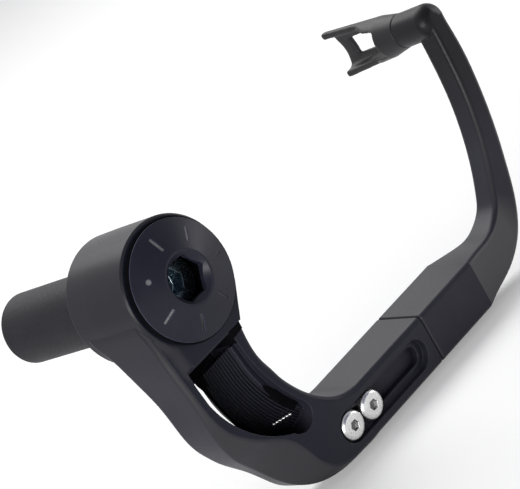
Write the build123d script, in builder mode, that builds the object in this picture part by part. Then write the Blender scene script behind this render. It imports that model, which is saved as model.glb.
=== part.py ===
from build123d import *
import os
from math import acos, atan2, cos, degrees, hypot, pi, radians, sin, sqrt

# Brake lever guard for the right-hand end of a motorbike handlebar, in millimetres.
# The bar axis is Y and the plug points inboard, +Y. +X is forwards and +Z is up.
# The origin is the centre of the hub's back face, which seats on the end of the bar.

# Hub, cap and their seal
hub_r = 16.1
hub_len = 23.3
band_len = 8.0
seat_r = 16.0
rim_chamfer = 0.5
cap_bore_r = 12.2
hub_floor = 11.0
cap_r = 14.75
cap_edge = 0.8
cap_rise = 2.7
cap_nose_r = 6.9
cap_wall = 2.6
spigot_len = 5.0
spigot_wall = 1.8
seal_h = 0.9
seal_w = 1.7
seal_inset = 0.2
hex_af = 10.0
hex_lead = 0.6
mark_count = 7
mark_phase = -6.0
mark_r = 10.7
mark_len = 4.0
mark_w = 0.7
mark_depth = 0.25
dot_r = 0.7
dot_place = 3

# Bar plug: clamping bolt, washer, rubber sleeve and wedge nut
plug_r = 9.0
plug_len = 41.0
pilot_r = 8.4
pilot_len = 1.0
bolt_r = 4.0
bolt_head_r = 6.5
bolt_head_h = 8.0
bolt_hex_af = 6.0
bolt_hex_depth = 4.5
bolt_tail = 1.2
washer_r = 8.0
washer_h = 1.6
nut_len = 14.0
nut_out = 0.8
nut_nose_r = 5.6
flare_r = 8.2

# Lower arm: a leg hanging from the hub, a bend with a bevelled heel and a straight box section
leg_in = 6.6
leg_d = 13.8
leg_y = -15.5
leg_end = 25.0
root_flare = 9.0
root_gusset = 8.0
root_power = 1.5
root_tuck = 0.2
root_stations = 4
drop = 54.9
bend_run = 16.0
bend_stations = 8
bend_sharp = 16
heel_x = 1.2
heel_drop = 62.4
heel_slope = 56.0
box_d = 15.4
box_h = 13.8
box_y = -15.7
twist = 9.0
edge_r = 1.2
bevel_edge = 0.9
bevel_wide = 7.0
bevel_deep = 9.5
bevel_end = 74.0
bevel_skew = 1.35
boss_left = 11.0
boss_right = 7.6
boss_drop = 17.2

# Window through the leg, with a steep ramp of fine steps on its inner side
window_top = 17.8
window_rim = 2.0
window_rail = 2.9
window_turn = 42.0
ledge_w = 1.4
ledge_top = 20.9
ramp_start = 21.0
ramp_steps = 12
ramp_top = 19.4
ramp_foot = 11.0
ramp_w = 5.3
ramp_spread = 1.45
ramp_slant = 3.0
shelf_in = 7.5
ramp_overrun = 30.0

# Length adjustment: seam, tongue, slot and clamping screws
seam_x = 50.2
seam_gap = 0.2
seam_chamfer = 0.4
tongue_past = 3.8
tongue_end_gap = 1.0
tongue_d = 8.2
tongue_h = 8.6
tongue_shift = 0.4
slot_end_x = 43.0
slot_w = 5.0
recess_w = 8.6
recess_depth = 2.0
screw_x = 16.2
screw_pitch = 8.0
screw_r = 2.0
screw_bite = 5.0
screw_head_r = 3.8
screw_head_h = 2.2
screw_dome = 1.2
screw_hex_af = 2.5
screw_hex_depth = 1.3

# Front arm: elbow, tapering upright and round stub
elbow_x = 72.6
elbow_lead = 9.7
elbow_r = 20.0
elbow_turn = 58.0
reach = 113.5
tip_z = 0.0
upright_lean = 0.4
upright_d = 7.2
upright_w = 6.6
upright_edge_r = 1.2
upright_bevel = 0.9
upright_stations = 12
upright_crowd = 1.4
taper_share = 0.7
untwist_share = 0.45
stub_r = 4.6
stub_len = 12.4
stub_edge_r = 3.2

# Guard tip and the screw that it turns on
tip_gap = 0.3
spindle_r = 2.6
spindle_len = 2.6
neck_len = 6.6
neck_end_r = 5.7
tip_len = 28.8
tip_h = 14.2
tip_lift = 0.4
tip_d = 8.6
flange = 1.9
web = 1.5
flange_out = 0.8
neck_slope = 1.4
trough_r = 1.6
mouth_r = 7.0
mouth_depth = 0.8
tip_window_y = 13.8
tip_window_l = 9.8
tip_window_h = 4.8
tip_screw_r = 1.5
tip_screw_bite = 6.0
tip_head_r = 2.75
tip_head_h = 1.3
tip_hex_af = 2.0
tip_hex_depth = 0.7
tip_wall = 1.4

# Clearances
slide_clearance = 0.12
turn_clearance = 0.3
thread_clearance = 0.05
drill_clearance = 1.0
tiny = 0.001

# Places that several pieces share
cap_under = hub_len + seal_h
cap_rim = cap_under + cap_edge
cap_top = cap_rim + cap_rise
spigot_r = cap_bore_r - turn_clearance
hex_corner_r = hex_af / sqrt(3)
bolt_seat = hub_floor + washer_h
nut_end = plug_len + nut_out
nut_start = nut_end - nut_len
bend_rise = drop - box_h / 2 - leg_end
bend_x = leg_in + bend_run
tongue_len = seam_x + seam_gap - screw_x + tongue_past
box_face = box_d / 2
tongue_face = tongue_d / 2 - tongue_shift
slot_run = slot_end_x - screw_x
slot_middle = (screw_x + slot_end_x) / 2
stub_end = box_y - upright_d / 2
stub_face = stub_end + stub_len
tip_start = stub_face + tip_gap
tip_end = tip_start + tip_len
tip_bore_end = stub_face + spindle_len + slide_clearance
tip_screw_seat = tip_bore_end + tip_wall
outboard = Vector(0, -cos(radians(twist)), -sin(radians(twist)))
screw_plane = Plane(
    origin=Vector(0, box_y, -drop) + outboard * box_face, x_dir=(1, 0, 0), z_dir=outboard
)
screw_spots = [(screw_x, 0), (screw_x + screw_pitch, 0)]


def arm_plane(x, y, z, heading, roll):
    """Plane across an arm that runs at a heading in XZ, rolled about its own line.

    Local x points inboard and local y to the inner side of the guard.
    """
    a = radians(heading)
    r = radians(roll)
    inboard = (-sin(a) * sin(r), cos(r), cos(a) * sin(r))
    return Plane(origin=(x, y, z), x_dir=inboard, z_dir=(cos(a), 0, sin(a)))


def box_plane(x):
    """Plane across the straight box at x."""
    return arm_plane(x, box_y, -drop, 0, twist)


def across(start, heading, point, slope):
    """Distance from a start, square to a heading, to the line through a point at a slope."""
    a = radians(heading)
    b = radians(slope)
    run = (point[0] - start[0]) * sin(b) - (point[1] - start[1]) * cos(b)
    return run / max(cos(a - b), tiny)


def bend_station(turn):
    """Inner point, heading and width of the lower arm at 0 to 90 degrees round its bend."""
    t = radians(turn)
    inner = (leg_in + bend_run * (1 - cos(t)), -leg_end - bend_rise * sin(t))
    heading = degrees(atan2(-bend_rise * cos(t), bend_run * sin(t)))
    heel = (heel_x, -heel_drop)
    sole = degrees(atan2(heel_drop - drop - box_h / 2, bend_x - heel_x))
    sides = (
        across(inner, heading, (-hub_r, 0), -90),
        across(inner, heading, heel, -heel_slope),
        across(inner, heading, heel, sole),
    )
    # A steep mean of the three sides, which rounds the corners between them
    width = sum(side ** -bend_sharp for side in sides) ** (-1 / bend_sharp)
    return inner, heading, width


def bevel(turn):
    """Width and depth of the bevel on the outer edge: slim on the straights, wide at the heel."""
    share = sin(pi * min(1, turn / bevel_end) ** bevel_skew) ** 1.5
    return bevel_edge + (bevel_wide - bevel_edge) * share, bevel_edge + (bevel_deep - bevel_edge) * share


def bend_point(turn, distance):
    """Point at a distance outwards from the bend's inner edge."""
    inner, heading, width = bend_station(turn)
    a = radians(heading)
    return (inner[0] + sin(a) * distance, inner[1] - cos(a) * distance)


def bend_centre(turn):
    return bend_point(turn, bend_station(turn)[2] / 2)


def window_outer(turn):
    return bend_point(turn, bend_station(turn)[2] - bevel(turn)[0] - window_rim)


def arm_outline(depth, width, bevel_w, bevel_d, corner):
    """Section of the arm: a rounded box whose outboard outer edge is bevelled."""
    a = depth / 2
    b = width / 2
    with BuildLine(mode=Mode.PRIVATE) as outline:
        FilletPolyline(
            (-a, b), (a, b), (a, -b), (bevel_d - a, -b), (-a, bevel_w - b), radius=corner, close=True
        )
    return outline.line.edges()


def window_line():
    """The leg's window: straight at the hub, then round the bend to a round nose."""
    out_top, out_mid, out_end = [window_outer(t) for t in (0, window_turn / 2, window_turn)]
    in_top, in_mid, in_end = [bend_point(t, window_rail) for t in (0, window_turn / 2, window_turn)]
    heading = radians(bend_station(window_turn)[1])
    nose = hypot(in_end[0] - out_end[0], in_end[1] - out_end[1]) / 2
    nose_x = (out_end[0] + in_end[0]) / 2 + cos(heading) * nose
    nose_z = (out_end[1] + in_end[1]) / 2 + sin(heading) * nose
    with BuildLine(mode=Mode.PRIVATE) as outline:
        Polyline(in_top, (in_top[0], -window_top), (out_top[0], -window_top), out_top)
        ThreePointArc(out_top, out_mid, out_end)
        ThreePointArc(out_end, (nose_x, nose_z), in_end)
        ThreePointArc(in_end, in_mid, in_top)
    return outline.line


def ramp_line(run, shelf, start):
    """Bounds the cut at one level: outside a line on the ramp, and out from a shelf above it."""
    past_nose = window_turn + ramp_overrun
    rail = window_rail + ledge_w
    top = bend_point(0, rail + run)
    middle = bend_point(past_nose / 2, rail + run * (1 + ramp_spread) / 2)
    end = bend_point(past_nose, rail + run * ramp_spread)
    with BuildLine(mode=Mode.PRIVATE) as outline:
        ThreePointArc(top, middle, end)
        Polyline(
            end,
            (end[0], -2 * drop),
            (-2 * hub_r, -2 * drop),
            (-2 * hub_r, 0),
            (shelf, 0),
            (shelf, -start),
            (top[0], -start),
            top,
        )
    return outline.line


def ease(share, end):
    """Runs from 0 to 1 over the first part of the upright, fast and then slow."""
    t = min(1, share / end)
    return t * (2 - t)


def cap_slope(angle):
    """Plane on the cap's sloping face at an angle round the bar axis, local x outwards."""
    a = radians(angle)
    run = cap_r - cap_nose_r
    y = cap_rise * (mark_r - cap_nose_r) / run - cap_top
    return Plane(
        origin=(mark_r * cos(a), y, mark_r * sin(a)),
        x_dir=(run * cos(a), cap_rise, run * sin(a)),
        z_dir=(cap_rise * cos(a), -run, cap_rise * sin(a)),
    )


def tip_plane(y):
    """Plane across the tip's axis at y: local x points back to the lever, local y up."""
    return Plane(origin=(reach, y, tip_z), x_dir=(-1, 0, 0), z_dir=(0, 1, 0))


# Cutter for the leg's window: a mouth, a ledge and a wall of fine steps down to the back
with BuildPart() as window_cutter:
    step_h = (ramp_top - ramp_foot) / ramp_steps
    levels = [(0, ramp_foot, 1, -shelf_in)]
    for i in range(ramp_steps):
        low = ramp_foot + i * step_h
        levels.append((low, low + step_h, 1 - (i + 1) / (ramp_steps + 1), hub_r))
    levels.append((ramp_top, ledge_top, 0, hub_r))
    for low, high, share, shelf in levels:
        bounds = ramp_line(ramp_w * share, shelf, ramp_start + ramp_slant * share)
        with BuildSketch(Plane.XZ.offset(low)):
            make_face(window_line().edges())
            make_face(bounds.edges(), mode=Mode.INTERSECT)
        extrude(amount=high - low)
    with BuildSketch(Plane.XZ.offset(ledge_top)):
        make_face(window_line().edges())
    extrude(amount=hub_len - ledge_top + drill_clearance)

with BuildPart() as hub_arm:
    with BuildSketch(Plane.XY):
        with BuildLine():
            Polyline(
                (0, 0),
                (seat_r, 0),
                (hub_r, -band_len),
                (hub_r, rim_chamfer - hub_len),
                (hub_r - rim_chamfer, -hub_len),
                (0, -hub_len),
                close=True,
            )
        make_face()
    revolve(axis=Axis.Y)
    # Flat-bottomed boss that carries the hub's front face down to the window,
    # its inner side a tangent of the hub
    corner = (boss_right, -boss_drop)
    touch = atan2(corner[1], corner[0]) + acos(hub_r / hypot(*corner))
    with BuildSketch(Plane.XZ.offset(band_len)):
        with BuildLine():
            Polyline(
                (0, 0),
                (-boss_left, 0),
                (-boss_left, -boss_drop),
                corner,
                (hub_r * cos(touch), hub_r * sin(touch)),
                close=True,
            )
        make_face()
    extrude(amount=hub_len - band_len)
    # Leg, which swells into the hub at its inner side and its back, and the bend
    for i in range(root_stations):
        z = -leg_end * i / root_stations
        swell = (1 + z / leg_end) ** root_power
        depth = leg_d + root_gusset * swell
        outer = hub_r if i else seat_r - root_tuck
        inner = leg_in + root_flare * swell
        middle = ((inner - outer) / 2, leg_y + root_gusset * swell / 2, z)
        with BuildSketch(arm_plane(*middle, -90, 0)):
            make_face(arm_outline(depth, inner + outer, bevel_edge, bevel_edge, edge_r))
    for i in range(bend_stations + 1):
        turn = 90 * i / bend_stations
        x, z = bend_centre(turn)
        inner, heading, width = bend_station(turn)
        share = turn / 90
        depth = leg_d + (box_d - leg_d) * share
        y = leg_y + (box_y - leg_y) * share
        with BuildSketch(arm_plane(x, y, z, heading, twist * share)):
            make_face(arm_outline(depth, width, *bevel(turn), edge_r))
    loft()
    # Straight box section up to the seam
    with BuildSketch(box_plane(bend_x)):
        make_face(arm_outline(box_d, box_h, bevel_edge, bevel_edge, edge_r))
    extrude(amount=seam_x - bend_x)
    chamfer(hub_arm.faces().sort_by(Axis.X)[-1].edges(), seam_chamfer)
    add(window_cutter.part, mode=Mode.SUBTRACT)
    # Room for the cap's spigot and the bolt head, and the bolt's hole
    with BuildSketch(Plane.XZ.offset(hub_floor)):
        Circle(cap_bore_r)
    extrude(amount=hub_len - hub_floor, mode=Mode.SUBTRACT)
    with BuildSketch(Plane.XZ):
        Circle(bolt_r + turn_clearance)
    extrude(amount=hub_floor, mode=Mode.SUBTRACT)
    # Shallow recess that the plug's pilot sits in
    with BuildSketch(Plane.XZ):
        Circle(plug_r + turn_clearance)
    extrude(amount=pilot_len, mode=Mode.SUBTRACT)
    # Socket for the front arm's tongue
    with BuildSketch(box_plane(seam_x)):
        with Locations((tongue_shift, 0)):
            Rectangle(tongue_d + 2 * slide_clearance, tongue_h + 2 * slide_clearance)
    extrude(amount=-(tongue_len + tongue_end_gap), mode=Mode.SUBTRACT)
    # Stepped slot for the two clamping screws
    with BuildSketch(screw_plane.offset(drill_clearance)):
        with Locations((slot_middle, 0)):
            SlotCenterToCenter(slot_run, recess_w)
    extrude(amount=-(recess_depth + drill_clearance), mode=Mode.SUBTRACT)
    with BuildSketch(screw_plane):
        with Locations((slot_middle, 0)):
            SlotCenterToCenter(slot_run, slot_w)
    extrude(amount=tongue_face - box_face, mode=Mode.SUBTRACT)

with BuildPart() as front_arm:
    # Straight box that carries on from the seam
    with BuildSketch(box_plane(seam_x + seam_gap)):
        make_face(arm_outline(box_d, box_h, bevel_edge, bevel_edge, edge_r))
    extrude(amount=elbow_x - seam_x - seam_gap)
    chamfer(front_arm.faces().sort_by(Axis.X)[0].edges(), seam_chamfer)
    # Elbow and tapering upright
    with BuildLine(Plane.XZ) as guide:
        lead = Line((elbow_x, -drop), (elbow_x + elbow_lead, -drop))
        elbow = JernArc(lead @ 1, lead % 1, elbow_r, elbow_turn)
        TangentArc(elbow @ 1, (reach + upright_lean, tip_z), tangent=elbow % 1)
    for i in range(upright_stations + 1):
        share = (i / upright_stations) ** upright_crowd
        spot = guide.wire().position_at(share)
        line = guide.wire().tangent_at(share)
        heading = degrees(atan2(line.Z, line.X))
        straight = ease(share, untwist_share)
        depth = box_d + (upright_d - box_d) * straight
        width = box_h + (upright_w - box_h) * ease(share, taper_share)
        corner = edge_r + (upright_edge_r - edge_r) * straight
        slant = bevel_edge + (upright_bevel - bevel_edge) * straight
        with BuildSketch(arm_plane(spot.X, box_y, spot.Z, heading, twist * (1 - straight))):
            make_face(arm_outline(depth, width, slant, slant, corner))
    loft()
    # Round stub for the tip with a rounded end, its spindle and the tapped hole for the tip's screw
    with BuildSketch(Plane(origin=(reach, stub_end, tip_z), x_dir=(1, 0, 0), z_dir=(0, 0, 1))):
        with BuildLine():
            rim = FilletPolyline((0, 0), (stub_r, 0), (stub_r, stub_len), radius=stub_edge_r)
            Polyline(rim @ 1, (0, stub_len), rim @ 0)
        make_face()
    revolve(axis=Axis((reach, 0, tip_z), (0, 1, 0)))
    with BuildSketch(tip_plane(stub_face)):
        Circle(spindle_r)
    extrude(amount=spindle_len)
    with BuildSketch(tip_plane(stub_face + spindle_len)):
        Circle(tip_screw_r + thread_clearance)
    extrude(amount=-(tip_screw_bite + drill_clearance), mode=Mode.SUBTRACT)
    # Tongue inside the lower arm, tapped for the clamping screws
    with BuildSketch(box_plane(seam_x + seam_gap)):
        with Locations((tongue_shift, 0)):
            Rectangle(tongue_d, tongue_h)
    extrude(amount=-tongue_len)
    with BuildSketch(screw_plane):
        with Locations(*screw_spots):
            Circle(screw_r + thread_clearance)
    extrude(amount=-box_d, mode=Mode.SUBTRACT)

with BuildPart() as end_cap:
    with BuildSketch(Plane.XY):
        with BuildLine():
            Polyline(
                (0, -cap_top),
                (cap_nose_r, -cap_top),
                (cap_r, -cap_rim),
                (cap_r, -cap_under),
                (spigot_r, -cap_under),
                (spigot_r, spigot_len - cap_under),
                (spigot_r - spigot_wall, spigot_len - cap_under),
                (spigot_r - spigot_wall, cap_wall - cap_top),
                (0, cap_wall - cap_top),
                close=True,
            )
        make_face()
    revolve(axis=Axis.Y)
    # Hexagon opening with a conical lead-in
    with BuildSketch(Plane.XZ.offset(cap_top)):
        RegularPolygon(hex_af / 2, 6, major_radius=False)
    extrude(amount=-cap_wall, mode=Mode.SUBTRACT)
    with BuildSketch(Plane.XY):
        with BuildLine():
            lead_r = hex_corner_r + hex_lead
            Polyline((0, -cap_top), (lead_r, -cap_top), (0, lead_r - cap_top), close=True)
        make_face()
    revolve(axis=Axis.Y, mode=Mode.SUBTRACT)
    # Setting marks cut square to the sloping face: a ring of bars with one dot
    for i in range(mark_count):
        with BuildSketch(cap_slope(mark_phase + 360 / mark_count * i)):
            if i == dot_place:
                Circle(dot_r)
            else:
                Rectangle(mark_len, mark_w)
        extrude(amount=-mark_depth, mode=Mode.SUBTRACT)

with BuildPart() as cap_seal:
    with BuildSketch(Plane.XY):
        with Locations((cap_bore_r + seal_inset + seal_w / 2, -(hub_len + seal_h / 2))):
            Rectangle(seal_w, seal_h)
    revolve(axis=Axis.Y)

with BuildPart() as bolt_washer:
    with BuildSketch(Plane.XZ.offset(hub_floor)):
        Circle(washer_r)
        Circle(bolt_r + turn_clearance, mode=Mode.SUBTRACT)
    extrude(amount=washer_h)

with BuildPart() as centre_bolt:
    with BuildSketch(Plane.XZ.offset(bolt_seat)):
        Circle(bolt_head_r)
    extrude(amount=bolt_head_h)
    with BuildSketch(Plane.XZ.offset(bolt_seat)):
        Circle(bolt_r)
    extrude(amount=-(bolt_seat + nut_end + bolt_tail))
    with BuildSketch(Plane.XZ.offset(bolt_seat + bolt_head_h)):
        RegularPolygon(bolt_hex_af / 2, 6, major_radius=False)
    extrude(amount=-bolt_hex_depth, mode=Mode.SUBTRACT)

with BuildPart() as plug_sleeve:
    with BuildSketch(Plane.XY):
        with BuildLine():
            Polyline(
                (bolt_r + turn_clearance, -pilot_len),
                (pilot_r, -pilot_len),
                (pilot_r, 0),
                (plug_r, 0),
                (plug_r, plug_len),
                (flare_r, plug_len),
                (nut_nose_r, nut_start),
                (bolt_r + turn_clearance, nut_start),
                close=True,
            )
        make_face()
    revolve(axis=Axis.Y)

with BuildPart() as wedge_nut:
    with BuildSketch(Plane.XY):
        with BuildLine():
            Polyline(
                (bolt_r + thread_clearance, nut_start),
                (nut_nose_r - slide_clearance, nut_start),
                (flare_r - slide_clearance, plug_len),
                (flare_r - slide_clearance, nut_end),
                (bolt_r + thread_clearance, nut_end),
                close=True,
            )
        make_face()
    revolve(axis=Axis.Y)

with BuildPart() as length_screws:
    with BuildSketch(screw_plane.offset(-recess_depth)):
        with Locations(*screw_spots):
            Circle(screw_head_r)
    extrude(amount=screw_head_h)
    fillet(length_screws.edges().group_by(Axis((0, 0, 0), outboard))[-1], screw_dome)
    with BuildSketch(screw_plane.offset(-recess_depth)):
        with Locations(*screw_spots):
            Circle(screw_r)
    extrude(amount=-(box_face - recess_depth - tongue_face + screw_bite))
    with BuildSketch(screw_plane.offset(screw_head_h - recess_depth)):
        with Locations(*screw_spots):
            RegularPolygon(screw_hex_af / 2, 6, major_radius=False)
    extrude(amount=-screw_hex_depth, mode=Mode.SUBTRACT)

with BuildPart() as guard_tip:
    # Conical neck that carries on into a tall oval blade
    with BuildSketch(tip_plane(tip_start)):
        Circle(stub_r)
    with BuildSketch(tip_plane(tip_start + neck_len)):
        Circle(neck_end_r)
    loft()
    with BuildSketch(tip_plane(tip_start + neck_len)):
        Circle(neck_end_r)
    with BuildSketch(tip_plane(tip_end)):
        with Locations((0, tip_lift)):
            Ellipse(tip_d / 2, tip_h / 2)
    loft()
    # Trough open to the lever, between an upper and a lower flange
    trough_back = neck_end_r + drill_clearance
    trough_floor = web - tip_d / 2
    trough_centre = (trough_back + trough_floor) / 2
    for y, height, lift in (
        (tip_start + neck_len, 2 * (neck_end_r - flange), 0),
        (tip_end + drill_clearance, tip_h - 2 * flange, tip_lift),
    ):
        with BuildSketch(tip_plane(y)):
            with Locations((trough_centre, lift)):
                RectangleRounded(trough_back - trough_floor, height, trough_r)
    loft(mode=Mode.SUBTRACT)
    # Flanges cut back towards the axis, and the neck's near side sloped down to them
    near = reach - neck_end_r - drill_clearance
    slope_y = tip_start + neck_len
    with BuildSketch(Plane.XY.offset(tip_z - tip_h)):
        with BuildLine():
            Polyline(
                (near, slope_y),
                (reach - flange_out, slope_y + (reach - flange_out - near) * neck_slope),
                (reach - flange_out, tip_end + drill_clearance),
                (near, tip_end + drill_clearance),
                close=True,
            )
        make_face()
    extrude(amount=2 * tip_h, mode=Mode.SUBTRACT)
    # Hollow end and the window through the web
    with BuildSketch(Plane(origin=(reach, 0, tip_z), x_dir=(0, 1, 0), z_dir=(1, 0, 0))):
        with Locations((tip_end - mouth_depth + mouth_r, 0)):
            Circle(mouth_r)
        with Locations((tip_start + tip_window_y + tip_window_l / 2, 0)):
            Rectangle(tip_window_l, tip_window_h)
    extrude(amount=tip_d, both=True, mode=Mode.SUBTRACT)
    # Bore for the spindle, hole for the screw and room for its head
    with BuildSketch(tip_plane(tip_start)):
        Circle(spindle_r + turn_clearance)
    extrude(amount=tip_bore_end - tip_start, mode=Mode.SUBTRACT)
    with BuildSketch(tip_plane(tip_bore_end)):
        Circle(tip_screw_r + turn_clearance)
    extrude(amount=tip_wall, mode=Mode.SUBTRACT)
    with BuildSketch(tip_plane(tip_screw_seat)):
        Circle(tip_head_r + turn_clearance)
    extrude(amount=tip_head_h + drill_clearance, mode=Mode.SUBTRACT)

with BuildPart() as tip_screw:
    with BuildSketch(tip_plane(tip_screw_seat)):
        Circle(tip_head_r)
    extrude(amount=tip_head_h)
    with BuildSketch(tip_plane(tip_screw_seat)):
        Circle(tip_screw_r)
    extrude(amount=-(tip_wall + slide_clearance + tip_screw_bite))
    with BuildSketch(tip_plane(tip_screw_seat + tip_head_h)):
        RegularPolygon(tip_hex_af / 2, 6, major_radius=False)
    extrude(amount=-tip_hex_depth, mode=Mode.SUBTRACT)

hub_arm.part.label = "hub_arm"
front_arm.part.label = "front_arm"
end_cap.part.label = "end_cap"
cap_seal.part.label = "cap_seal"
bolt_washer.part.label = "bolt_washer"
centre_bolt.part.label = "centre_bolt"
plug_sleeve.part.label = "plug_sleeve"
wedge_nut.part.label = "wedge_nut"
length_screws.part.label = "length_screws"
guard_tip.part.label = "guard_tip"
tip_screw.part.label = "tip_screw"

os.makedirs("parts", exist_ok=True)
export_step(hub_arm.part, "parts/hub_arm.step")
export_step(front_arm.part, "parts/front_arm.step")
export_step(end_cap.part, "parts/end_cap.step")
export_step(cap_seal.part, "parts/cap_seal.step")
export_step(bolt_washer.part, "parts/bolt_washer.step")
export_step(centre_bolt.part, "parts/centre_bolt.step")
export_step(plug_sleeve.part, "parts/plug_sleeve.step")
export_step(wedge_nut.part, "parts/wedge_nut.step")
export_step(length_screws.part, "parts/length_screws.step")
export_step(guard_tip.part, "parts/guard_tip.step")
export_step(tip_screw.part, "parts/tip_screw.step")
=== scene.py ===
from math import atan2, cos, pi, radians, sin

import bmesh
import bpy
from mathutils import Matrix, Vector


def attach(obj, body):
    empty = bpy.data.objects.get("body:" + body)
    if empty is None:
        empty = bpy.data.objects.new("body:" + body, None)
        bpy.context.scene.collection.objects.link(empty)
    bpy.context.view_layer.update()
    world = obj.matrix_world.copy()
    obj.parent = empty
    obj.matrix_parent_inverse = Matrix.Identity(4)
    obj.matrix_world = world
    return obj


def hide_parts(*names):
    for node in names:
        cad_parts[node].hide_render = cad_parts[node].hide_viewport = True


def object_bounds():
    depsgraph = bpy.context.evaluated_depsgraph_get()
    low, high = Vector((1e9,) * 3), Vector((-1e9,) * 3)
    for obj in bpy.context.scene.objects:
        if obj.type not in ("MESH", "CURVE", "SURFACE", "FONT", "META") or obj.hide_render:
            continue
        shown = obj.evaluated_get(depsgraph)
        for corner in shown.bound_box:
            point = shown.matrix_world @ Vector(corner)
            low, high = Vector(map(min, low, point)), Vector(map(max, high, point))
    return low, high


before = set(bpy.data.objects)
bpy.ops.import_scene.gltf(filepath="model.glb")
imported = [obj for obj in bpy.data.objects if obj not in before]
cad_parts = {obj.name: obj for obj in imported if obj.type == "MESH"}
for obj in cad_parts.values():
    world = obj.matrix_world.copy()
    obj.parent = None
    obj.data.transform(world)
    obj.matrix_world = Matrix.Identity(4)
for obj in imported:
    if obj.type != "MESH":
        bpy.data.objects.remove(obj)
cad_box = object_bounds()
scene = bpy.context.scene
MM = 0.001

# The photograph's camera: its place and aim in metres, its roll in degrees and its lens
EYE = Vector((-0.37756, -0.58224, 0.15850))
AIM = Vector((0.031314, -0.014210, -0.010506))
ROLL = -35.854
IMAGE_W = 520
FOCAL_PX = 3000.0
SENSOR_MM = 36.0

# The studio: the floor in metres, and the Y of the headings where the dim room ends
FLOOR_GAP = 0.0015
FLOOR_HALF = 3.0
ROOM_FRONT = -0.75
ROOM_BACK = 0.1

# Sizes of the solids that the pieces made here are fitted to, in millimetres and degrees
LEG_IN = 6.6
LEG_END = 25.0
BEND_RUN = 16.0
BEND_RISE = 23.0
WINDOW_RAIL = 2.9
WINDOW_TURN = 42.0
WINDOW_NOSE_R = 4.18
NOSING_CLEAR = 0.08
LEDGE_W = 1.4
RAMP_STEPS = 12
RAMP_START = 21.0
RAMP_SLANT = 3.0
RAMP_FOOT = 11.0
RAMP_TOP = 19.4
RAMP_W = 5.3
RAMP_SPREAD = 1.45
RAMP_OVERRUN = 30.0
CAP_R = 14.75
CAP_NOSE_R = 6.9
CAP_RIM_Y = -25.0
CAP_RISE = 2.7
MARK_R = 10.7
BOX_TWIST = 9.0
SCREW_PITCH = 8.0

# Tones of the arms' anodising, and of the painted light and shade on it: paler bevels and elbow face, darker
# hub, outer face and stub
ARM_DARK = (0.016, 0.0155, 0.023)
ARM_LIGHT = (0.022, 0.021, 0.030)
BEVEL_HIGHLIGHT_TONE = (0.030, 0.029, 0.033)
HUB_SHADE_TONE = (0.010, 0.010, 0.014)
OUTER_FACE_SHADE_TONE = (0.008, 0.009, 0.016)
STUB_SHADE_TONE = (0.007, 0.006, 0.007)
ELBOW_HIGHLIGHT_TONE = (0.060, 0.059, 0.063)

# Rays for each soft edge and for the painted shade in each recess
EDGE_SAMPLES = 6
RECESS_SAMPLES = 6


def grey(value):
    return (value, value, value)


def toned(colour, share):
    return tuple(share * c for c in colour)


class Wiring:
    """A node tree built from short calls, which take and give outlets."""

    def __init__(self, tree):
        self.tree = tree

    def node(self, kind, sockets=None, **settings):
        """Adds a node with its settings, and with what goes into its sockets."""
        made = self.tree.nodes.new(kind)
        for name, value in settings.items():
            setattr(made, name, value)
        self.fill(made, sockets or {})
        return made

    def fill(self, node, sockets):
        """Joins an outlet to each socket, or sets the socket to a plain value."""
        for name, value in sockets.items():
            if isinstance(value, bpy.types.NodeSocket):
                self.tree.links.new(value, node.inputs[name])
            else:
                node.inputs[name].default_value = value

    def math(self, operation, a, b=0.0):
        return self.node("ShaderNodeMath", {0: a, 1: b}, operation=operation).outputs[0]

    def vector(self, x=0.0, y=0.0, z=0.0):
        return self.node("ShaderNodeCombineXYZ", {0: x, 1: y, 2: z}).outputs[0]

    def vector_math(self, operation, a, b=(0.0, 0.0, 0.0), out="Vector"):
        return self.node("ShaderNodeVectorMath", {0: a, 1: b}, operation=operation).outputs[out]

    def split(self, vector):
        return self.node("ShaderNodeSeparateXYZ", {0: vector}).outputs

    def share(self, source, none, full, most=1.0):
        """How much of something shows: nothing at one strength, and the most at another."""
        sockets = {"Value": source, "From Min": none, "From Max": full, "To Max": most}
        return self.node("ShaderNodeMapRange", sockets).outputs["Result"]

    def ramp(self, source, dark, light, low=0.3, high=0.7):
        """A tone that runs from dark at the low strength to light at the high one."""
        made = self.node("ShaderNodeValToRGB", {"Fac": source})
        for element, place, colour in zip(made.color_ramp.elements, (low, high), (dark, light)):
            element.position = place
            element.color = (*colour, 1.0)
        return made.outputs["Color"]


def clear_wiring(owner):
    """The empty node tree of a material or a world."""
    owner.use_nodes = True
    owner.node_tree.nodes.clear()
    return owner.node_tree


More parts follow.
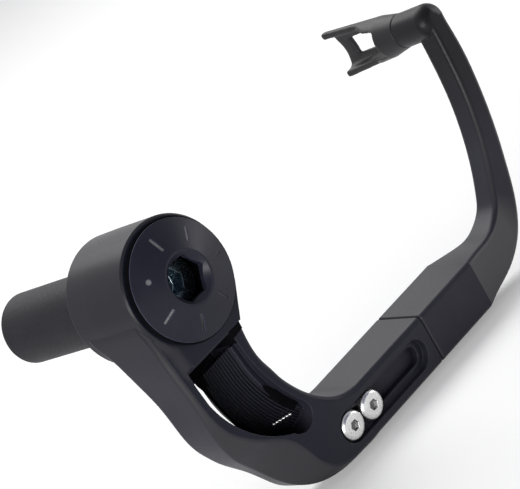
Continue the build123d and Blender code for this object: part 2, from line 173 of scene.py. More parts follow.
class Finish(Wiring):
    """A procedural material on object coordinates."""

    def __init__(self, name):
        self.material = bpy.data.materials.new(name)
        super().__init__(clear_wiring(self.material))
        self.shader = self.node("ShaderNodeBsdfPrincipled")
        self.node("ShaderNodeOutputMaterial", {"Surface": self.shader.outputs["BSDF"]})
        coords = self.node("ShaderNodeTexCoord").outputs
        self.place = coords["Object"]
        self.facing = coords["Normal"]

    def coat(self, sockets):
        """Gives the surface its colour, roughness and relief."""
        self.fill(self.shader, sockets)

    def noise(self, scale, detail=3.0, roughness=0.6, stretch=None):
        place = self.place
        if stretch:
            place = self.node("ShaderNodeMapping", {"Vector": place, "Scale": stretch}).outputs["Vector"]
        sockets = {"Vector": place, "Scale": scale, "Detail": detail, "Roughness": roughness}
        return self.node("ShaderNodeTexNoise", sockets).outputs["Fac"]

    def waves(self, distance, pitch):
        """Fine lines that repeat at a pitch along a distance."""
        return self.math("SINE", self.math("MULTIPLY", distance, 2 * pi / pitch))

    def bar_radius(self):
        """How far a place lies from the bar axis."""
        at = self.split(self.place)
        return self.vector_math("LENGTH", self.vector(x=at["X"], z=at["Z"]), out="Value")

    def blend(self, share, under, over):
        """Lays a plain colour over a tone, by its share."""
        sockets = {"Factor": share, "A": under, "B": (*over, 1.0)}
        return self.node("ShaderNodeMix", sockets, data_type="RGBA").outputs["Result"]

    def bump(self, height, strength, distance, under):
        sockets = {"Height": height, "Strength": strength, "Distance": distance, "Normal": under}
        return self.node("ShaderNodeBump", sockets).outputs["Normal"]

    def round_edges(self, radius):
        return self.node("ShaderNodeBevel", {"Radius": radius}, samples=EDGE_SAMPLES).outputs["Normal"]


def edge_wear_and_highlight(finish, rounded):
    """Edges, by how far they turn: anodising wears where it is handled, and the same lightening is also a
    painted highlight along the edges.
    """
    true_face = finish.node("ShaderNodeNewGeometry").outputs["Normal"]
    match = finish.vector_math("DOT_PRODUCT", rounded, true_face, out="Value")
    return finish.share(finish.math("SUBTRACT", 1.0, match), none=0.03, full=0.3)


def painted_bevel_highlight(finish):
    """Painted highlight: the slanting faces between the outer face and the sides, made lighter by which way
    they face.
    """
    facing = finish.split(finish.facing)
    return finish.share(finish.math("MULTIPLY", facing["X"], facing["Y"]), none=0.16, full=0.34)


def painted_recess_shade(finish, reach):
    """Painted shade: darker in slots and recesses, by how little open sky they see."""
    open_sky = finish.node("ShaderNodeAmbientOcclusion", {"Distance": reach}, samples=RECESS_SAMPLES)
    return finish.share(open_sky.outputs["AO"], none=0.6, full=0.1)


def outboard(finish):
    """How squarely a face looks outboard."""
    return finish.math("MULTIPLY", finish.split(finish.facing)["Y"], -1.0)


def hub_painted_shade(finish, tone):
    """Painted shade: darker round the hub and on the flat outer face than on the leg's sides."""
    height = finish.split(finish.place)["Z"]
    hub_shade_share = finish.share(height, none=-14.0 * MM, full=-4.0 * MM, most=0.8)
    tone = finish.blend(hub_shade_share, tone, HUB_SHADE_TONE)
    flat = finish.share(outboard(finish), none=0.985, full=0.998, most=0.9)
    return finish.blend(flat, tone, OUTER_FACE_SHADE_TONE)


def upright_light_and_shade(finish, tone):
    """Painted shade darker towards the stub, and a painted highlight that makes the outer face paler round
    the elbow.
    """
    height = finish.split(finish.place)["Z"]
    stub_shade_share = finish.share(height, none=-35.0 * MM, full=-10.0 * MM, most=0.85)
    tone = finish.blend(stub_shade_share, tone, STUB_SHADE_TONE)
    bent = finish.share(finish.split(finish.facing)["X"], none=0.02, full=0.09)
    outer = finish.share(outboard(finish), none=0.7, full=0.9)
    return finish.blend(finish.math("MULTIPLY", bent, outer), tone, ELBOW_HIGHLIGHT_TONE)


def satin_anodised(name, dark, light, rough, shine, shades=None):
    """Bead-blasted black anodising: cloudy tone, fine grain, soft edges a little rubbed; painted highlights
    on edges and bevels, painted shade in recesses.
    """
    finish = Finish(name)
    tone = finish.ramp(finish.noise(scale=70.0, detail=4.0), dark, light)
    tone = finish.blend(painted_bevel_highlight(finish), tone, BEVEL_HIGHLIGHT_TONE)
    if shades:
        tone = shades(finish, tone)
    rounded = finish.round_edges(0.25 * MM)
    tone = finish.blend(painted_recess_shade(finish, 8.0 * MM), tone, toned(dark, 0.3))
    tone = finish.blend(edge_wear_and_highlight(finish, rounded), tone, toned(light, 2.5))
    grain = finish.noise(scale=2600.0, detail=2.0)
    finish.coat({
        "Base Color": tone,
        "Roughness": finish.ramp(grain, grey(rough - 0.05), grey(rough + 0.07)),
        "Normal": finish.bump(grain, strength=0.10, distance=0.05 * MM, under=rounded),
        "Specular IOR Level": shine,
    })
    return finish


def turned_anodised(name, dark, light, rough, shine):
    """Black anodising over lathe rings, with painted shade in recesses and painted highlights on the edges.
    """
    finish = Finish(name)
    tone = finish.ramp(finish.noise(scale=110.0, detail=4.0), dark, light)
    rounded = finish.round_edges(0.2 * MM)
    tone = finish.blend(painted_recess_shade(finish, 6.0 * MM), tone, toned(dark, 0.2))
    tone = finish.blend(edge_wear_and_highlight(finish, rounded), tone, toned(light, 9.0))
    rings = finish.waves(finish.bar_radius(), pitch=0.35 * MM)
    finish.coat({
        "Base Color": tone,
        "Roughness": finish.ramp(rings, grey(rough - 0.04), grey(rough + 0.05), low=0.0, high=1.0),
        "Normal": finish.bump(rings, strength=0.015, distance=0.03 * MM, under=rounded),
        "Specular IOR Level": shine,
    })
    return finish


def turned_rubber(name, dark, light, rough, shine):
    """Hard rubber with the faint lines of its mould and a dusty bloom."""
    finish = Finish(name)
    bloom = finish.noise(scale=160.0, detail=5.0, roughness=0.7, stretch=(1.0, 0.25, 1.0))
    grain = finish.noise(scale=1800.0)
    lines = finish.waves(finish.split(finish.place)["Y"], pitch=0.6 * MM)
    rounded = finish.round_edges(0.3 * MM)
    lined = finish.bump(lines, strength=0.12, distance=0.03 * MM, under=rounded)
    finish.coat({
        "Base Color": finish.ramp(bloom, dark, light, low=0.35),
        "Roughness": finish.ramp(grain, grey(rough - 0.07), grey(rough + 0.07)),
        "Normal": finish.bump(grain, strength=0.12, distance=0.05 * MM, under=lined),
        "Specular IOR Level": shine,
    })
    return finish


def bright_metal(name, dark, light, rough):
    """Plated or stainless steel with small stains and fine drawing marks."""
    finish = Finish(name)
    stain = finish.noise(scale=700.0, detail=4.0)
    marks = finish.noise(scale=2400.0, stretch=(1.0, 0.15, 1.0))
    rounded = finish.round_edges(0.2 * MM)
    finish.coat({
        "Base Color": finish.ramp(stain, dark, light, low=0.35, high=0.65),
        "Roughness": finish.ramp(marks, grey(rough - 0.06), grey(rough + 0.08)),
        "Normal": finish.bump(marks, strength=0.05, distance=0.03 * MM, under=rounded),
        "Metallic": 1.0,
    })
    return finish


def moulded(name, dark, light, rough, shine):
    """Satin moulded plastic with a fine spark texture."""
    finish = Finish(name)
    cloud = finish.noise(scale=90.0)
    spark = finish.noise(scale=2100.0, detail=4.0, roughness=0.7)
    rounded = finish.round_edges(0.35 * MM)
    finish.coat({
        "Base Color": finish.ramp(cloud, dark, light),
        "Roughness": finish.ramp(spark, grey(rough - 0.05), grey(rough + 0.08)),
        "Normal": finish.bump(spark, strength=0.16, distance=0.05 * MM, under=rounded),
        "Specular IOR Level": shine,
    })
    return finish


def light_and_shade_paint(name, dark, light, shade_colour):
    """Thin paint, light as a painted highlight and darker towards the lower front of the cap as painted
    shade.
    """
    finish = Finish(name)
    tone = finish.ramp(finish.noise(scale=1500.0), dark, light)
    slant = finish.vector_math("DOT_PRODUCT", finish.place, (1.0, 0.0, -1.0), out="Value")
    tone = finish.blend(finish.share(slant, none=1.43 * MM, full=7.14 * MM), tone, shade_colour)
    finish.coat({"Base Color": tone, "Roughness": 0.6})
    return finish


# Two copies of one anodising, differing only in painted light and shade: the hub's and the front arm's.
arm_black = satin_anodised("arm_black", ARM_DARK, ARM_LIGHT, rough=0.36, shine=0.15, shades=hub_painted_shade)
front_black = satin_anodised(
    "front_black", ARM_DARK, ARM_LIGHT, rough=0.36, shine=0.15, shades=upright_light_and_shade
)
seal_black = satin_anodised("seal_black", (0.004, 0.004, 0.005), (0.007, 0.007, 0.008), rough=0.6, shine=0.25)
cap_black = turned_anodised("cap_black", (0.010, 0.010, 0.018), (0.014, 0.014, 0.023), rough=0.38, shine=0.2)
plug_dark = turned_rubber("plug_dark", (0.009, 0.0085, 0.012), (0.014, 0.013, 0.017), rough=0.55, shine=0.15)
tip_black = moulded("tip_black", (0.012, 0.0115, 0.013), (0.017, 0.016, 0.018), rough=0.42, shine=0.25)
# Near-black without gloss: painted shade in the window's sheets and lip, and the dark joint round the cap.
recess_black = moulded("recess_black", (0.003, 0.003, 0.004), (0.005, 0.005, 0.006), rough=0.7, shine=0.0)
# A darker copy of the anodising for the ramp's nosings: painted shade inside the window.
ramp_black = moulded("ramp_black", (0.004, 0.004, 0.006), (0.007, 0.007, 0.009), rough=0.42, shine=0.1)
steel = bright_metal("steel", grey(0.68), (0.78, 0.78, 0.77), rough=0.28)
zinc = bright_metal("zinc", (0.16, 0.22, 0.26), (0.24, 0.31, 0.35), rough=0.26)
# A brighter copy of the zinc: painted highlight in the bolt's socket.
zinc_bright = bright_metal("zinc_bright", (0.62, 0.78, 0.80), (0.78, 0.90, 0.90), rough=0.2)
# A dark copy of the steel: painted shade in the screw sockets.
socket_grey = bright_metal("socket_grey", grey(0.10), grey(0.16), rough=0.4)
nut_metal = bright_metal("nut_metal", (0.030, 0.030, 0.034), (0.045, 0.045, 0.05), rough=0.42)
# Painted highlight and painted shade in the cap's marks.
mark_paint = light_and_shade_paint("mark_paint", grey(0.09), (0.14, 0.14, 0.15), shade_colour=grey(0.005))


def dress(node, finish):
    """Gives a CAD node its finish."""
    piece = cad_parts[node]
    piece.data.materials.clear()
    piece.data.materials.append(finish.material)


dress("hub_arm", arm_black)
dress("front_arm", front_black)
dress("end_cap", cap_black)
dress("cap_seal", seal_black)
dress("plug_sleeve", plug_dark)
dress("centre_bolt", zinc)
dress("bolt_washer", zinc)
dress("wedge_nut", nut_metal)
dress("length_screws", steel)
dress("tip_screw", steel)
dress("guard_tip", tip_black)


def make_piece(name, mesh, body):
    """Makes a mesh a piece that goes with a body."""
    piece = bpy.data.objects.new(name, mesh)
    scene.collection.objects.link(piece)
    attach(piece, body)
    return piece


class Recipe(Wiring):
    """A geometry node tree whose numbers are named inputs, and the piece that it makes."""

    def __init__(self, name, stock=None):
        super().__init__(bpy.data.node_groups.new(name, "GeometryNodeTree"))
        self.name = name
        self.tree.interface.new_socket("Geometry", in_out="OUTPUT", socket_type="NodeSocketGeometry")
        if stock:
            self.tree.interface.new_socket("Stock", in_out="INPUT", socket_type="NodeSocketGeometry")
        self.stock = stock or bpy.data.meshes.new(name + "_seed")
        self.inputs = self.node("NodeGroupInput")
        self.values = {}

    def number(self, name, value, kind="NodeSocketFloat"):
        """Adds a named input and returns its outlet."""
        socket = self.tree.interface.new_socket(name, in_out="INPUT", socket_type=kind)
        self.values[socket.identifier] = value
        return self.inputs.outputs[name]

    def count(self, name, value):
        return self.number(name, value, "NodeSocketInt")

    def length(self, name, size):
        """A named size, given in millimetres."""
        return self.number(name, size * MM)

    def heading(self, name, direction):
        return self.number(name, direction, "NodeSocketVector")

    def point(self, name, place):
        """A named place, given in millimetres."""
        return self.heading(name, Vector(place) * MM)

    def points(self, name, places):
        return [self.point("%s %d" % (name, i + 1), place) for i, place in enumerate(places)]

    def position(self):
        return self.node("GeometryNodeInputPosition").outputs[0]

    def gathered(self, *outlets):
        made = self.node("GeometryNodeJoinGeometry")
        for outlet in outlets:
            self.tree.links.new(outlet, made.inputs[0])
        return made.outputs[0]

    def moved(self, shape, place, turn=(0.0, 0.0, 0.0)):
        sockets = {"Geometry": shape, "Translation": place, "Rotation": turn}
        return self.node("GeometryNodeTransform", sockets).outputs[0]

    def copies(self, row, shape, turn=(0.0, 0.0, 0.0), chosen=True):
        """A copy of a shape on each chosen point of a row."""
        sockets = {"Points": row, "Selection": chosen, "Instance": shape, "Rotation": turn}
        return self.node("GeometryNodeInstanceOnPoints", sockets).outputs[0]

    def circle(self, sides, radius):
        sockets = {"Resolution": sides, "Radius": radius}
        return self.node("GeometryNodeCurvePrimitiveCircle", sockets, mode="RADIUS").outputs["Curve"]

    def wire(self, line, sides, radius=1.0, scale=1.0):
        """A round wire along a line, with its ends closed."""
        ring = self.circle(sides, radius)
        sockets = {"Curve": line, "Profile Curve": ring, "Scale": scale, "Fill Caps": True}
        return self.node("GeometryNodeCurveToMesh", sockets).outputs[0]

    def build(self, shape, finish, body, slot, smooth=True, voxel=None):
        """Realizes and paints the shape, and turns it into a plain mesh piece on a body."""
        real = self.node("GeometryNodeRealizeInstances", {"Geometry": shape}).outputs[0]
        painted = self.node("GeometryNodeSetMaterial", {"Geometry": real, "Material": finish.material})
        self.node("NodeGroupOutput", {0: painted.outputs[0]})
        seed = bpy.data.objects.new(self.name + "_seed", self.stock)
        scene.collection.objects.link(seed)
        if voxel:
            net = seed.modifiers.new("even_net", "REMESH")
            net.mode = "VOXEL"
            net.voxel_size = voxel * MM
        worker = seed.modifiers.new(self.name, "NODES")
        worker.node_group = self.tree
        for identifier, value in self.values.items():
            worker[identifier] = value
        deps = bpy.context.evaluated_depsgraph_get()
        mesh = bpy.data.meshes.new_from_object(seed.evaluated_get(deps))
        seed.modifiers.clear()
        bpy.data.objects.remove(seed)
        mesh.name = self.name
        if smooth:
            mesh.shade_smooth()
        else:
            mesh.shade_flat()
        return make_piece(self.name, mesh, body)


def bend_heading(turn):
    """The direction of the leg's inner edge at a turn round its bend."""
    t = radians(turn)
    return Vector((BEND_RUN * sin(t), 0.0, -BEND_RISE * cos(t))).normalized()


def bend_point(turn, distance):
    """The place at a turn round the bend, a distance outwards from the inner edge."""
    t = radians(turn)
    ahead = bend_heading(turn)
    inner = Vector((LEG_IN + BEND_RUN * (1 - cos(t)), 0.0, -LEG_END - BEND_RISE * sin(t)))
    return inner + distance * Vector((ahead.z, 0.0, -ahead.x))


def ramp_places(width):
    """Three places on a line of the ramp: where the bend begins, halfway, and past the nose."""
    past_nose = WINDOW_TURN + RAMP_OVERRUN
    rail = WINDOW_RAIL + LEDGE_W
    return [
        bend_point(0, rail + width),
        bend_point(past_nose / 2, rail + width * (1 + RAMP_SPREAD) / 2),
        bend_point(past_nose, rail + width * RAMP_SPREAD),
    ]


def ramp_line(recipe, places, top):
    """An arc through three places, and the straight run down to it from a height."""
    start, middle, end = places
    sockets = {"Resolution": 48, "Start": start, "Middle": middle, "End": end}
    arc = recipe.node("GeometryNodeCurveArc", sockets, mode="POINTS")
    at = recipe.split(start)
    above = recipe.vector(at["X"], at["Y"], top)
    run = recipe.node("GeometryNodeCurvePrimitiveLine", {"Start": above, "End": start})
    return arc.outputs["Curve"], run.outputs["Curve"]


def ramp_nosings():
    """Rounded nosings on the steps of the leg's ramp, evenly from its foot up to its ledge."""
    recipe = Recipe("ramp_nosings")
    lines = recipe.count("Lines", RAMP_STEPS + 1)
    inner = recipe.points("Inner", ramp_places(0.0))
    outer = recipe.points("Outer", ramp_places(RAMP_W))
    foot = recipe.length("Foot depth", RAMP_FOOT)
    rise = recipe.length("Step height", (RAMP_TOP - RAMP_FOOT) / RAMP_STEPS)
    start = recipe.length("Ramp start", RAMP_START)
    slant = recipe.length("Start slant", RAMP_SLANT)
    thick = recipe.length("Nosing radius", 0.14)
    nose_r = recipe.length("Nose radius", WINDOW_NOSE_R - NOSING_CLEAR)
    nose = recipe.point("Nose centre", bend_point(WINDOW_TURN, WINDOW_RAIL + WINDOW_NOSE_R))
    ahead = recipe.heading("Nose heading", bend_heading(WINDOW_TURN))

    loop_in = recipe.node("GeometryNodeRepeatInput")
    loop_out = recipe.node("GeometryNodeRepeatOutput")
    loop_in.pair_with_output(loop_out)
    recipe.fill(loop_in, {"Iterations": lines})
    step = loop_in.outputs["Iteration"]
    share = recipe.math("SUBTRACT", 1.0, recipe.math("DIVIDE", step, lines))
    depth = recipe.math("ADD", foot, recipe.math("MULTIPLY", step, rise))
    lift = recipe.vector(y=recipe.math("MULTIPLY", depth, -1.0))
    places = []
    for a, b in zip(inner, outer):
        between = recipe.node("ShaderNodeMix", {"Factor": share, "A": a, "B": b}, data_type="VECTOR")
        places.append(recipe.vector_math("ADD", between.outputs["Result"], lift))
    drop = recipe.math("ADD", start, recipe.math("MULTIPLY", slant, share))
    arc, run = ramp_line(recipe, places, recipe.math("MULTIPLY", drop, -1.0))
    recipe.fill(loop_out, {"Geometry": recipe.gathered(arc, run, loop_in.outputs["Geometry"])})

    # Whatever runs on past the window's round nose is dropped
    from_nose = recipe.vector_math("SUBTRACT", recipe.position(), nose)
    level = recipe.vector_math("MULTIPLY", from_nose, (1.0, 0.0, 1.0))
    away = recipe.vector_math("LENGTH", level, out="Value")
    forward = recipe.vector_math("DOT_PRODUCT", level, ahead, out="Value")
    outside = recipe.math("GREATER_THAN", away, nose_r)
    beyond = recipe.math("GREATER_THAN", forward, 0.0)
    dropped = recipe.math("MULTIPLY", outside, beyond)
    sockets = {"Geometry": loop_out.outputs["Geometry"], "Selection": dropped}
    trimmed = recipe.node("GeometryNodeDeleteGeometry", sockets, domain="POINT").outputs[0]
    shape = recipe.wire(trimmed, sides=10, radius=thick)
    # The nosings take the ramp's darker finish, painted shade inside the window.
    return recipe.build(shape, ramp_black, "lower_arm", "anodised_arm")


def ramp_lip():
    """The lip at the ramp's foot, near-black as painted shade, thicker towards both ends of the gap that it
    borders.
    """
    recipe = Recipe("ramp_lip")
    places = recipe.points("Foot", ramp_places(RAMP_W))
    depth = recipe.length("Depth", -10.15)
    start = recipe.length("Lip start", -23.5)
    thin = recipe.length("Radius at the middle", 0.5)
    extra = recipe.length("Extra radius at the ends", 0.95)
    upper = recipe.length("Upper end", -25.5)
    lower = recipe.length("Lower end", -40.5)
    sharpness = recipe.number("Sharpness of the ends", 4.0)
    line = recipe.moved(recipe.gathered(*ramp_line(recipe, places, start)), recipe.vector(y=depth))
    height = recipe.split(recipe.position())["Z"]
    sockets = {"Value": height, "From Min": upper, "From Max": lower, "To Min": -1.0, "To Max": 1.0}
    from_middle = recipe.node("ShaderNodeMapRange", sockets).outputs["Result"]
    ends = recipe.math("POWER", recipe.math("ABSOLUTE", from_middle), sharpness)
    width = recipe.math("ADD", thin, recipe.math("MULTIPLY", extra, ends))
    shape = recipe.wire(line, sides=14, scale=width)
    return recipe.build(shape, recess_black, "lower_arm", "anodised_arm")


def ridge_ends():
    """Painted highlights: small bright steel balls for the glints on the ends of the ridges above the ramp's
    nose.
    """
    recipe = Recipe("ridge_ends")
    total = recipe.count("Ridges", 6)
    first = recipe.point("First end", (3.4, -14.75, -43.95))
    last = recipe.point("Last end", (6.45, -18.25, -43.95))
    radius = recipe.length("End radius", 0.5)
    sockets = {"Count": total, "Start Location": first, "Offset": last}
    row = recipe.node("GeometryNodeMeshLine", sockets, mode="END_POINTS").outputs["Mesh"]
    ball = recipe.node("GeometryNodeMeshUVSphere", {"Segments": 16, "Rings": 8, "Radius": radius})
    return recipe.build(recipe.copies(row, ball.outputs["Mesh"]), steel, "lower_arm", "anodised_arm")


def cap_paint():
    """Painted light and shade in the cap's setting marks: bars round the sloping face, with one dot among
    them.
    """
    recipe = Recipe("cap_paint")
    total = recipe.count("Marks", 7)
    dot_place = recipe.count("Dot place", 3)
    phase = recipe.number("First angle", radians(-6.0))
    length = recipe.length("Bar length", 3.9)
    width = recipe.length("Bar width", 0.6)
    thick = recipe.length("Paint thickness", 0.1)
    dot_r = recipe.length("Dot radius", 0.62)
    sink = recipe.length("Paint depth", 0.19)
    slope_run = CAP_R - CAP_NOSE_R
    mark_y = CAP_RIM_Y - CAP_RISE * (CAP_R - MARK_R) / slope_run
    mark = recipe.point("Mark", (MARK_R, mark_y, 0.0))

    row = recipe.node("GeometryNodeMeshLine", {"Count": total, "Offset": (0.0, 0.0, 0.0)}, mode="OFFSET")
    place = recipe.node("GeometryNodeInputIndex").outputs[0]
    step = recipe.math("DIVIDE", 2 * pi, total)
    angle = recipe.math("ADD", phase, recipe.math("MULTIPLY", place, step))
    turn = recipe.vector(y=recipe.math("MULTIPLY", angle, -1.0))
    compare = recipe.node("FunctionNodeCompare", data_type="INT", operation="EQUAL")
    recipe.fill(compare, {"A": place, "B": dot_place})
    is_dot = compare.outputs[0]
    is_bar = recipe.node("FunctionNodeBooleanMath", {0: is_dot}, operation="NOT").outputs[0]
    bar = recipe.node("GeometryNodeMeshCube", {"Size": recipe.vector(length, width, thick)})
    dot = recipe.node("GeometryNodeMeshCylinder", {"Vertices": 24, "Radius": dot_r, "Depth": thick})

    sunk = recipe.vector(z=recipe.math("MULTIPLY", sink, -1.0))
    upright = (pi / 2, 0.0, atan2(CAP_RISE, slope_run))
    marks = []
    for shape, chosen in ((bar, is_bar), (dot, is_dot)):
        stood = recipe.moved(recipe.moved(shape.outputs["Mesh"], sunk), mark, upright)
        marks.append(recipe.copies(row.outputs["Mesh"], stood, turn, chosen))
    return recipe.build(recipe.gathered(*marks), mark_paint, "lower_arm", "anodised_cap", smooth=False)


def screw_sockets():
    """Painted shade: dark hex plugs in the sockets of the two length screws."""
    recipe = Recipe("screw_sockets")
    total = recipe.count("Screws", 2)
    first = recipe.point("First socket", (16.2, -22.71, -56.0))
    pitch = recipe.point("Pitch", (SCREW_PITCH, 0.0, 0.0))
    radius = recipe.length("Socket radius", 1.42)
    depth = recipe.length("Socket depth", 0.5)
    sockets = {"Count": total, "Start Location": first, "Offset": pitch}
    row = recipe.node("GeometryNodeMeshLine", sockets, mode="OFFSET").outputs["Mesh"]
    six = recipe.node("GeometryNodeMeshCylinder", {"Vertices": 6, "Radius": radius, "Depth": depth})
    facing = (pi / 2 + radians(BOX_TWIST), 0.0, 0.0)
    shape = recipe.copies(row, six.outputs["Mesh"], facing)
    return recipe.build(shape, socket_grey, "upper_arm", "stainless", smooth=False)


def wire_ring(name, ring_r, wire_r, place, finish, body, slot):
    """A round wire bent to a ring round the bar axis, at a place along it, in millimetres."""
    recipe = Recipe(name)
    radius = recipe.length("Ring radius", ring_r)
    thick = recipe.length("Wire radius", wire_r)
    depth = recipe.length("Depth", place)
    hoop = recipe.circle(sides=96, radius=radius)
    laid = recipe.moved(hoop, recipe.vector(y=depth), turn=(pi / 2, 0.0, 0.0))
    return recipe.build(recipe.wire(laid, sides=10, radius=thick), finish, body, slot)


def rim_joint():
    """The dark joint round the cap's rim, over the seal."""
    return wire_ring("rim_joint", 14.8, 0.36, -24.3, recess_black, "lower_arm", "seal_rubber")


def bolt_seat():
    """A ring at the bottom of the bolt's socket, in bright zinc as a painted highlight."""
    return wire_ring("bolt_seat", 3.0, 0.3, -16.35, zinc_bright, "plug", "zinc_steel")


def bolt_thread():
    """The thread on the end of the centre bolt, where it comes out of the nut."""
    recipe = Recipe("bolt_thread")
    radius = recipe.length("Thread radius", 3.98)
    pitch = recipe.length("Pitch", 0.55)
    turns = recipe.number("Turns", 1.6)
    start = recipe.length("Start", 41.86)
    crest = recipe.length("Crest radius", 0.18)
    sockets = {
        "Resolution": 40,
        "Rotations": turns,
        "Start Radius": radius,
        "End Radius": radius,
        "Height": recipe.math("MULTIPLY", pitch, turns),
    }
    coil = recipe.node("GeometryNodeCurveSpiral", sockets).outputs[0]
    laid = recipe.moved(coil, recipe.vector(y=start), turn=(-pi / 2, 0.0, 0.0))
    return recipe.build(recipe.wire(laid, sides=8, radius=crest), zinc, "plug", "zinc_steel")


def merged_copy(piece):
    """A copy of a piece's mesh with its loose triangles joined."""
    mesh = piece.data.copy()
    net = bmesh.new()
    net.from_mesh(mesh)
    bmesh.ops.remove_doubles(net, verts=net.verts, dist=0.001 * MM)
    net.to_mesh(mesh)
    net.free()
    return mesh


def soft_tip():
    """The moulded tip, with its corners and flanges softened beyond the neck."""
    recipe = Recipe("soft_tip", merged_copy(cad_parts["guard_tip"]))
    edge = recipe.length("Softened beyond", 1.0)
    passes = recipe.count("Passes", 16)
    here = recipe.position()
    beyond = recipe.math("GREATER_THAN", recipe.split(here)["Y"], edge)
    even = recipe.node("GeometryNodeBlurAttribute", data_type="FLOAT_VECTOR")
    recipe.fill(even, {"Value": here, "Iterations": passes})
    sockets = {
        "Geometry": recipe.inputs.outputs["Stock"],
        "Selection": beyond,
        "Position": even.outputs["Value"],
    }
    softened = recipe.node("GeometryNodeSetPosition", sockets).outputs[0]
    piece = recipe.build(softened, tip_black, "tip", "tip_plastic", voxel=0.25)
    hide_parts("guard_tip")
    return piece


def skin(name, rows, sink, finish, body):
    """A thin closed skin over rows of places in millimetres, as thick as it is sunk."""
    net = bmesh.new()
    grid = [[net.verts.new(Vector(place) * MM) for place in row] for row in rows]
    for upper, lower in zip(grid, grid[1:]):
        for i in range(len(upper) - 1):
            net.faces.new((upper[i], upper[i + 1], lower[i + 1], lower[i]))
    grown = bmesh.ops.extrude_face_region(net, geom=net.faces[:])["geom"]
    under = [part for part in grown if isinstance(part, bmesh.types.BMVert)]
    bmesh.ops.translate(net, verts=under, vec=Vector(sink) * MM)
    bmesh.ops.recalc_face_normals(net, faces=net.faces)
    mesh = bpy.data.meshes.new(name)
    net.to_mesh(mesh)
    net.free()
    mesh.materials.append(finish.material)
    return make_piece(name, mesh, body)


# The leg's fairing, in millimetres: its net, the leg's edge and face, the boss, and the tail below
FAIRING_TOP_Z = -6.2
FAIRING_STEP = 0.5
FAIRING_ROWS = 43
FAIRING_COLUMNS = 9
FAIRING_THICK = 1.2
LEG_EDGE_X = -14.9
LEG_FACE_Y = -22.42
BOSS_FOOT_Z = -17.0
BOSS_SIDE = 10.583
BOSS_RISE = 0.91
CAP_CLEAR_R = 15.7
TAIL_SIDE = 13.05
TAIL_RISE = 0.4
TAIL_LEN = 7.0
SHARP_ANGLE = 40.0


def leg_fairing():
    """The smooth rise from the leg's left edge to the face of the boss under the cap."""
    rows = []
    for k in range(FAIRING_ROWS):
        z = FAIRING_TOP_Z - FAIRING_STEP * k
        on_boss = z > BOSS_FOOT_Z
        if on_boss:
            right = -max(BOSS_SIDE ** 2, CAP_CLEAR_R ** 2 - z ** 2) ** 0.5
            rise = BOSS_RISE
        else:
            right = -TAIL_SIDE
            rise = TAIL_RISE * max(0.0, 1.0 - (BOSS_FOOT_Z - z) / TAIL_LEN) ** 2
        row = []
        for i in range(FAIRING_COLUMNS):
            t = i / (FAIRING_COLUMNS - 1)
            lift = t * t * (3.0 - 2.0 * t) if on_boss else t * t
            row.append((LEG_EDGE_X + (right - LEG_EDGE_X) * t, LEG_FACE_Y - rise * lift, z))
        rows.append(row)
    sink = (0.0, FAIRING_THICK, 0.0)
    piece = skin("leg_fairing", rows, sink, arm_black, "lower_arm")
    piece.data.shade_smooth()
    piece.data.set_sharp_from_angle(angle=radians(SHARP_ANGLE))
    return piece


# The window's painted-shade sheets, in millimetres: where the faces lie that they cover
CHANNEL_TOP_Z = -17.3
CHANNEL_FLOOR_Y = -11.05
CHANNEL_WALL_X = 3.62
CHANNEL_END_Y = -22.46
POCKET_Y = -21.05


def at_depth(y, *lines):
    """Rows of places at one depth, from lines of x and z."""
    return [[(x, y, z) for x, z in line] for line in lines]


def window_shades():
    """Painted shade: black sheets in the deep channel above the ramp and in the pocket beside it."""
    floor = at_depth(
        CHANNEL_FLOOR_Y,
        [(-5.2, CHANNEL_TOP_Z), (3.6, CHANNEL_TOP_Z)],
        [(-5.2, -24.3), (3.6, -21.5)],
    )
    wall = [[(CHANNEL_WALL_X, y, z) for y in (-22.2, -11.1)] for z in (CHANNEL_TOP_Z, -21.0)]
    end = at_depth(CHANNEL_END_Y, [(3.3, -17.25), (7.5, -17.25)], [(3.3, -19.6), (7.2, -19.2)])
    pocket = at_depth(
        POCKET_Y,
        [(3.15, -32.9), (5.36, -36.0), (7.6, -39.4), (9.0, -42.3)],
        [(2.9, -34.0), (3.2, -37.4), (4.2, -40.3), (6.4, -43.0)],
    )
    shade_sheets = (
        ("channel_floor", floor, (0.0, 0.3, 0.0)),
        ("channel_wall", wall, (0.3, 0.0, 0.0)),
        ("channel_end", end, (0.0, 0.2, 0.0)),
        ("ramp_pocket", pocket, (0.0, 0.2, 0.0)),
    )
    for name, rows, sink in shade_sheets:
        skin(name, rows, sink, recess_black, "lower_arm")


leg_fairing()
window_shades()
ramp_nosings()
ramp_lip()
ridge_ends()
cap_paint()
screw_sockets()
rim_joint()
bolt_seat()
bolt_thread()
soft_tip()


def seen_white(wiring, plain, white):
    """Shows the white shader to the eye, to gloss and to glass, and the plain one to the light."""
    path = wiring.node("ShaderNodeLightPath").outputs
    seen = wiring.math("MAXIMUM", path["Is Camera Ray"], path["Is Glossy Ray"])
    seen = wiring.math("MAXIMUM", seen, path["Is Transmission Ray"])
    return wiring.node("ShaderNodeMixShader", {0: seen, 1: plain, 2: white}).outputs[0]


def studio_floor():
    """A white floor just under the part, which keeps its shadow."""
    low = cad_box[0][2] - FLOOR_GAP
    corners = [(x * FLOOR_HALF, y * FLOOR_HALF, low) for x, y in ((-1, -1), (1, -1), (1, 1), (-1, 1))]
    mesh = bpy.data.meshes.new("floor")
    mesh.from_pydata(corners, [], [(0, 1, 2, 3)])
    material = bpy.data.materials.new("floor_white")
    wiring = Wiring(clear_wiring(material))
    matt = wiring.node("ShaderNodeBsdfDiffuse", {"Color": (*grey(0.8), 1.0)}).outputs[0]
    glow = wiring.node("ShaderNodeEmission", {"Strength": 0.24}).outputs[0]
    bright = wiring.node("ShaderNodeAddShader", {0: matt, 1: glow}).outputs[0]
    wiring.node("ShaderNodeOutputMaterial", {"Surface": seen_white(wiring, matt, bright)})
    mesh.materials.append(material)
    floor = bpy.data.objects.new("floor", mesh)
    scene.collection.objects.link(floor)


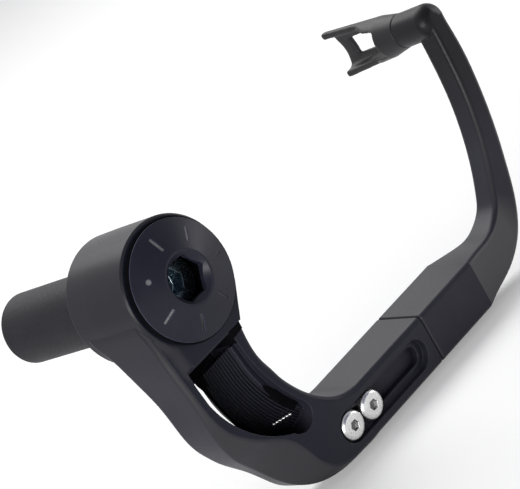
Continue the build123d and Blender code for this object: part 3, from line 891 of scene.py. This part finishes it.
def studio_world():
    """A white backdrop all round, with a dimmer room in front of the part for gloss to show."""
    scene.world = bpy.data.worlds.new("studio")
    wiring = Wiring(clear_wiring(scene.world))
    heading = wiring.split(wiring.node("ShaderNodeTexCoord").outputs["Generated"])
    behind = wiring.share(heading["Y"], none=ROOM_FRONT, full=ROOM_BACK)
    tone = wiring.ramp(behind, (0.16, 0.17, 0.24), grey(1.0), low=0.0, high=1.0)
    room = wiring.node("ShaderNodeBackground", {"Color": tone}).outputs[0]
    white = wiring.node("ShaderNodeBackground", {"Strength": 1.0}).outputs[0]
    soft = wiring.node("ShaderNodeBackground", {"Color": (0.5, 0.5, 0.52, 1.0), "Strength": 0.5}).outputs[0]
    path = wiring.node("ShaderNodeLightPath").outputs
    lit = wiring.node("ShaderNodeMixShader", {0: path["Is Glossy Ray"], 1: soft, 2: room}).outputs[0]
    clear = wiring.math("MAXIMUM", path["Is Camera Ray"], path["Is Transmission Ray"])
    shown = wiring.node("ShaderNodeMixShader", {0: clear, 1: lit, 2: white}).outputs[0]
    wiring.node("ShaderNodeOutputWorld", {"Surface": shown})


def aimed(place, aim):
    """The pose of a lamp or a camera that looks from a place at an aim."""
    turn = (Vector(aim) - Vector(place)).to_track_quat("-Z", "Y")
    return Matrix.Translation(place) @ turn.to_matrix().to_4x4()


def softbox(name, place, aim, size, power):
    """A rectangle of soft light, in metres and watts."""
    light = bpy.data.lights.new(name, "AREA")
    light.shape = "RECTANGLE"
    light.size, light.size_y = size
    light.energy = power
    lamp = bpy.data.objects.new(name, light)
    scene.collection.objects.link(lamp)
    lamp.matrix_world = aimed(place, aim)


def photo_camera():
    """The camera at the photograph's viewing angle."""
    lens = bpy.data.cameras.new("photo_eye")
    lens.sensor_fit = "HORIZONTAL"
    lens.sensor_width = SENSOR_MM
    lens.lens = FOCAL_PX / IMAGE_W * SENSOR_MM
    lens.clip_start = 0.01
    lens.clip_end = 20.0
    eye = bpy.data.objects.new("photo_eye", lens)
    scene.collection.objects.link(eye)
    eye.matrix_world = aimed(EYE, AIM) @ Matrix.Rotation(radians(ROLL), 4, "Z")
    scene.camera = eye


studio_floor()
studio_world()
softbox("key_top", place=(0.3, 0.5, 0.9), aim=(0.05, 0.0, -0.02), size=(0.9, 0.9), power=10.0)
softbox("side_left", place=(-0.7, -0.45, 0.06), aim=(0.0, 0.0, -0.03), size=(0.7, 0.22), power=7.0)
softbox("side_right", place=(0.8, -0.42, 0.0), aim=(0.03, 0.0, -0.03), size=(0.5, 0.12), power=1.0)
photo_camera()

scene.view_settings.view_transform = "Standard"
